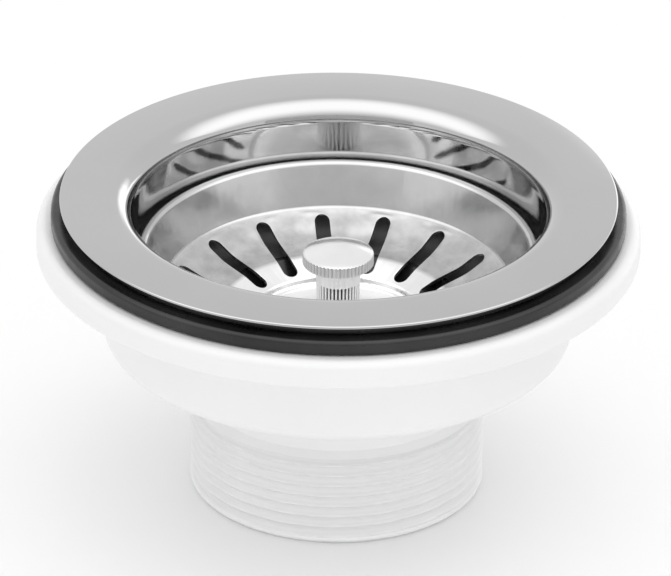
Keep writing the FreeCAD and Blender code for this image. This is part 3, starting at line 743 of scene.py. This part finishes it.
# The knob is turned and chromed: a knurled cap with a low dome, a smooth collar and a fluted neck,
# pressed on to the post above the pan.
KNOB_SEGMENTS = 648
SOCKET_TOP = 42.0
NECK_FOOT_RADIUS = 4.55
WAIST_RADIUS = 4.28
WAIST_HEIGHT = 40.0
WAIST_BEND = 85.0
COLLAR_RADIUS = 4.5
COLLAR_TOP_RADIUS = 4.55
COLLAR_TOP_BEND = 0.25
CAP_RADIUS = 7.2
CAP_BOTTOM = 48.4
CAP_LOWER_BEND = 0.12
CAP_EDGE = 50.55
CAP_UPPER_BEND = 0.2
DOME_RADIUS = 6.95
DOME_FOOT = 50.65
DOME_TOP = 51.8
DOME_STEPS = 14
KNURLS = 54
KNURL_DEPTH = 0.22
FLUTES = 36
FLUTE_TOP = 44.6
FLUTE_END = 0.02
FLUTE_ROOT = 4.03
FLUTE_MOUTH = 4.65
GROOVE_SHARE = 0.9


def off_groove(angle, count):
    """How far an angle lies from the nearest of so many grooves, from nought to one between two of them."""
    pitch = math.tau / count
    return abs((angle / pitch + 0.5) % 1 - 0.5) * 2


neck_outline = rounded([
    (NECK_FOOT_RADIUS, PAN_TOP, None),
    (WAIST_RADIUS, WAIST_HEIGHT, WAIST_BEND),
    (COLLAR_RADIUS, FLUTE_TOP, None),
], closed=False, steps=12)
neck_outline += [Vector((COLLAR_RADIUS, FLUTE_TOP + FLUTE_END))]
cap_outline = rounded([
    (COLLAR_RADIUS, FLUTE_TOP, None),
    (COLLAR_TOP_RADIUS, CAP_BOTTOM, COLLAR_TOP_BEND),
    (CAP_RADIUS, CAP_BOTTOM, CAP_LOWER_BEND),
    (CAP_RADIUS, CAP_EDGE, CAP_UPPER_BEND),
    (DOME_RADIUS, DOME_FOOT, None),
], closed=False, steps=8)[1:]
dome_shares = [1 - step / DOME_STEPS for step in range(1, DOME_STEPS + 1)]
dome_outline = [
    Vector((DOME_RADIUS * share, DOME_TOP - (DOME_TOP - DOME_FOOT) * share ** 2)) for share in dome_shares]
socket_outline = [Vector((0, SOCKET_TOP)), Vector((POST_HOLE, SOCKET_TOP)), Vector((POST_HOLE, PAN_TOP))]
knob = turned("chromed_knob", socket_outline + neck_outline + cap_outline + dome_outline,
              closed=False, segments=KNOB_SEGMENTS)
for vertex in knob.data.vertices:
    height = vertex.co.z / MM
    radius = vertex.co.xy.length / MM
    angle = math.atan2(vertex.co.y, vertex.co.x)
    if height > CAP_BOTTOM - TOLERANCE:
        limit = CAP_RADIUS - KNURL_DEPTH
        limit += KNURL_DEPTH * min(1.0, off_groove(angle, KNURLS) / GROOVE_SHARE)
    elif radius > POST_HOLE + TOLERANCE and height < FLUTE_TOP + TOLERANCE:
        limit = FLUTE_ROOT + (FLUTE_MOUTH - FLUTE_ROOT) * off_groove(angle, FLUTES) / GROOVE_SHARE
    else:
        continue
    if radius > limit:
        vertex.co.xy *= limit / radius
smooth(knob, 40)

# painted shade: the roots of the flutes and of the knurling are painted darker than their ridges
chromed_grip, tree, shader = new_material("chromed_grip", Metallic=1.0)
grip_tone = add_group(tree, tone_drift, Scale=150.0, Lowest=0.78, Highest=0.84)
flute_share = add_group(tree, radius_share, Low=0.0041, High=0.0044)
above_flutes = add_group(tree, height_share, Low=0.0445, High=0.0447)
flute_root_shade = 0.16
flute_shaded_tone = blend(tree, reckon(tree, "MAXIMUM", flute_share, above_flutes), flute_root_shade, grip_tone)
ridge_share = add_group(tree, radius_share, Low=0.00698, High=0.00712)
dome_share = add_group(tree, height_share, Low=0.0503, High=0.0507)
below_cap = add_group(tree, height_share, Low=0.0484, High=0.0482)
off_knurl = reckon(tree, "MAXIMUM", dome_share, below_cap)
knurl_root_shade = 0.6
knurl_shaded_tone = blend(tree, reckon(tree, "MAXIMUM", off_knurl, ridge_share), knurl_root_shade, flute_shaded_tone)
feed(tree, shader.inputs["Base Color"], knurl_shaded_tone)
side_gloss = 0.36
dome_gloss = add_group(tree, tone_drift, Scale=400.0, Lowest=0.1, Highest=0.2)
feed(tree, shader.inputs["Roughness"], blend(tree, dome_share, side_gloss, dome_gloss))
knob.data.materials.append(chromed_grip)
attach(knob, "basket")
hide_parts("knob")


# Under the pan, the post carries a rubber stopper, a steel plate and a nut that clamps them,
# and a small rubber ring in its groove. These solids stay as they are.
finish_node("post", turned_steel)
finish_node("seal_plate", turned_steel)
finish_node("post_nut", turned_steel)
finish_node("stopper_seal", black_rubber)
finish_node("grip_ring", black_rubber)


# The stage is a white table that fades into a white surround and keeps the object's soft shadow.
# A grey room and bright panels stand round it, which only show in the polished metal.
bpy.ops.object.select_all(action="DESELECT")
bpy.ops.mesh.primitive_circle_add(vertices=96, radius=3.0, fill_type="NGON")
table = bpy.context.object
table.name = "table"
table_white, tree, shader = new_material(
    "table_white", Base_Color=(0.96, 0.96, 0.96, 1), Roughness=0.6, Specular_IOR_Level=0.2)


def fade_from(tree, distance, **limits):
    """A soft change of a value with distance, between the limits that are named."""
    fade = add_node(tree, "ShaderNodeMapRange", Value=distance, **limits)
    fade.interpolation_type = "SMOOTHSTEP"
    return fade.outputs["Result"]


def seen_directly(tree):
    """One for a ray from the camera, a mirror or a pane, and nought for the light that falls on things."""
    path = add_node(tree, "ShaderNodeLightPath").outputs
    either = reckon(tree, "MAXIMUM", path["Is Camera Ray"], path["Is Glossy Ray"])
    return reckon(tree, "MAXIMUM", either, path["Is Transmission Ray"])


table_place = add_node(tree, "ShaderNodeTexCoord").outputs["Object"]
table_reach = add_node(tree, "ShaderNodeVectorMath", table_place, operation="LENGTH").outputs["Value"]
table_fade = fade_from(tree, table_reach, From_Min=0.025, From_Max=0.12)
table_glow = add_node(tree, "ShaderNodeEmission", Color=(1, 1, 1, 1), Strength=1.0)
glow_share = reckon(tree, "MULTIPLY", table_fade, seen_directly(tree))
table_mix = add_node(tree, "ShaderNodeMixShader", glow_share,
                     shader.outputs["BSDF"], table_glow.outputs["Emission"])
feed(tree, tree.nodes["Material Output"].inputs["Surface"], table_mix.outputs["Shader"])
table.data.materials.append(table_white)

# a grey room behind the camera, which bright metal shows as its darker side, lighter towards the ceiling
bpy.ops.mesh.primitive_plane_add(size=1, location=(0, -2.6, 0.7), rotation=(math.pi / 2, 0, 0))
room = bpy.context.object
room.name = "grey_room"
bpy.ops.transform.resize(value=(4.5, 1, 1.6))
bpy.ops.object.transform_apply()
room_grey, tree, shader = new_material("room_grey", Roughness=0.9)
floor_tone = 0.7
ceiling_tone = 1.0
room_height = add_group(tree, height_share, Low=0.5, High=1.5)
feed(tree, shader.inputs["Base Color"], blend(tree, room_height, floor_tone, ceiling_tone))
room.data.materials.append(room_grey)
room.visible_camera = False


def mirror_light(name, place, turn, size, middle, stretch, inside, outside, bright):
    """A panel that only mirrors show: bright round its middle, and fading to the white of the surround."""
    bpy.ops.mesh.primitive_plane_add(size=1, location=place, rotation=turn)
    panel = bpy.context.object
    panel.name = name
    bpy.ops.transform.resize(value=size, orient_type="LOCAL")
    bpy.ops.object.transform_apply()
    material, tree, shader = new_material(name)
    tree.nodes.remove(shader)
    spot = add_node(tree, "ShaderNodeTexCoord").outputs["Object"]
    offset = add_node(tree, "ShaderNodeVectorMath", spot, middle, operation="SUBTRACT").outputs["Vector"]
    widen = add_node(tree, "ShaderNodeVectorMath", offset, stretch, operation="MULTIPLY").outputs["Vector"]
    reach = add_node(tree, "ShaderNodeVectorMath", widen, operation="LENGTH").outputs["Value"]
    strength = fade_from(tree, reach, From_Min=inside, From_Max=outside, To_Min=bright, To_Max=1.0)
    glow = add_node(tree, "ShaderNodeEmission", Color=(1, 1, 1, 1), Strength=strength)
    feed(tree, tree.nodes["Material Output"].inputs["Surface"], glow.outputs["Emission"])
    panel.data.materials.append(material)
    panel.visible_camera = False
    panel.visible_diffuse = False
    panel.visible_shadow = False


# the soft box as bright metal shows it, above and a little towards the camera
mirror_light("box_mirrored", place=(0, -0.39, 1.24), turn=(math.radians(18), 0, 0), size=(7, 3, 1),
             middle=(0, -0.39, 1.24), stretch=(0.2, 1, 1), inside=0.2, outside=1.5, bright=2.0)
# a low strip behind, which shows along the lip
mirror_light("strip_mirrored", place=(0.35, 0.9, 0.2), turn=(math.radians(18), 0, 0), size=(2.2, 1.3, 1),
             middle=(0.4, 0.65, 0.12), stretch=(1.7, 1, 1), inside=0.42, outside=0.7, bright=1.9)
# a window behind on the right, which shows in the left of the lip
mirror_light("window_mirrored", place=(0.3, 0.95, 0.55), turn=(math.radians(90), 0, 0), size=(2.4, 1.0, 1),
             middle=(0.4, 0.95, 0.31), stretch=(1, 1, 1.2), inside=0.08, outside=0.3, bright=2.1)


# An even white surround lights everything. A soft box overhead and a weak low light from the front,
# which reaches under the rim to the neck and the thread, model the white body.
world = bpy.data.worlds.new("white_surround")
bpy.context.scene.world = world
world.use_nodes = True
tree = world.node_tree
soft_light = tree.nodes["Background"]
soft_light.inputs["Color"].default_value = (1, 1, 1, 1)
soft_light.inputs["Strength"].default_value = 0.9
white_back = add_node(tree, "ShaderNodeBackground", Color=(1, 1, 1, 1), Strength=1.0)
world_mix = add_node(tree, "ShaderNodeMixShader", seen_directly(tree),
                     soft_light.outputs["Background"], white_back.outputs["Background"])
feed(tree, tree.nodes["World Output"].inputs["Surface"], world_mix.outputs["Shader"])


def matt_light(name, place, turn, width, depth, energy):
    """A rectangular lamp that lights things and doesn't show in mirrors."""
    bpy.ops.object.light_add(type="AREA", location=place, rotation=turn)
    lamp = bpy.context.object
    lamp.name = name
    lamp.data.shape = "RECTANGLE"
    lamp.data.size = width
    lamp.data.size_y = depth
    lamp.data.energy = energy
    lamp.visible_glossy = False


matt_light("soft_box", place=(0.22, 0.12, 1.08), turn=(0, math.radians(11), 0),
           width=1.1, depth=0.9, energy=1.7)
matt_light("low_light", place=(-0.2, -1.0, 0.12), turn=(math.radians(85), 0, 0),
           width=1.2, depth=0.3, energy=1.0)


# The camera looks down on the waste from in front, with a long lens and a slight tilt to the left.
# Its place was fitted to the ellipses of the flange, the rim and the outlet.
CAMERA_RISE = math.radians(27.79)
CAMERA_AWAY = 1.6274
CAMERA_ROLL = 0.009
AIM = Vector((-0.0005, 0, 0.04258))
bpy.ops.object.camera_add(
    location=AIM + Vector((0, -math.cos(CAMERA_RISE), math.sin(CAMERA_RISE))) * CAMERA_AWAY)
camera = bpy.context.object
camera.rotation_euler = (
    Matrix.Rotation(math.pi / 2 - CAMERA_RISE, 3, "X") @ Matrix.Rotation(CAMERA_ROLL, 3, "Z")).to_euler()
camera.data.lens = 433
camera.data.sensor_width = 36
camera.data.clip_end = 20
bpy.context.scene.camera = camera
bpy.context.scene.view_settings.view_transform = "Standard"
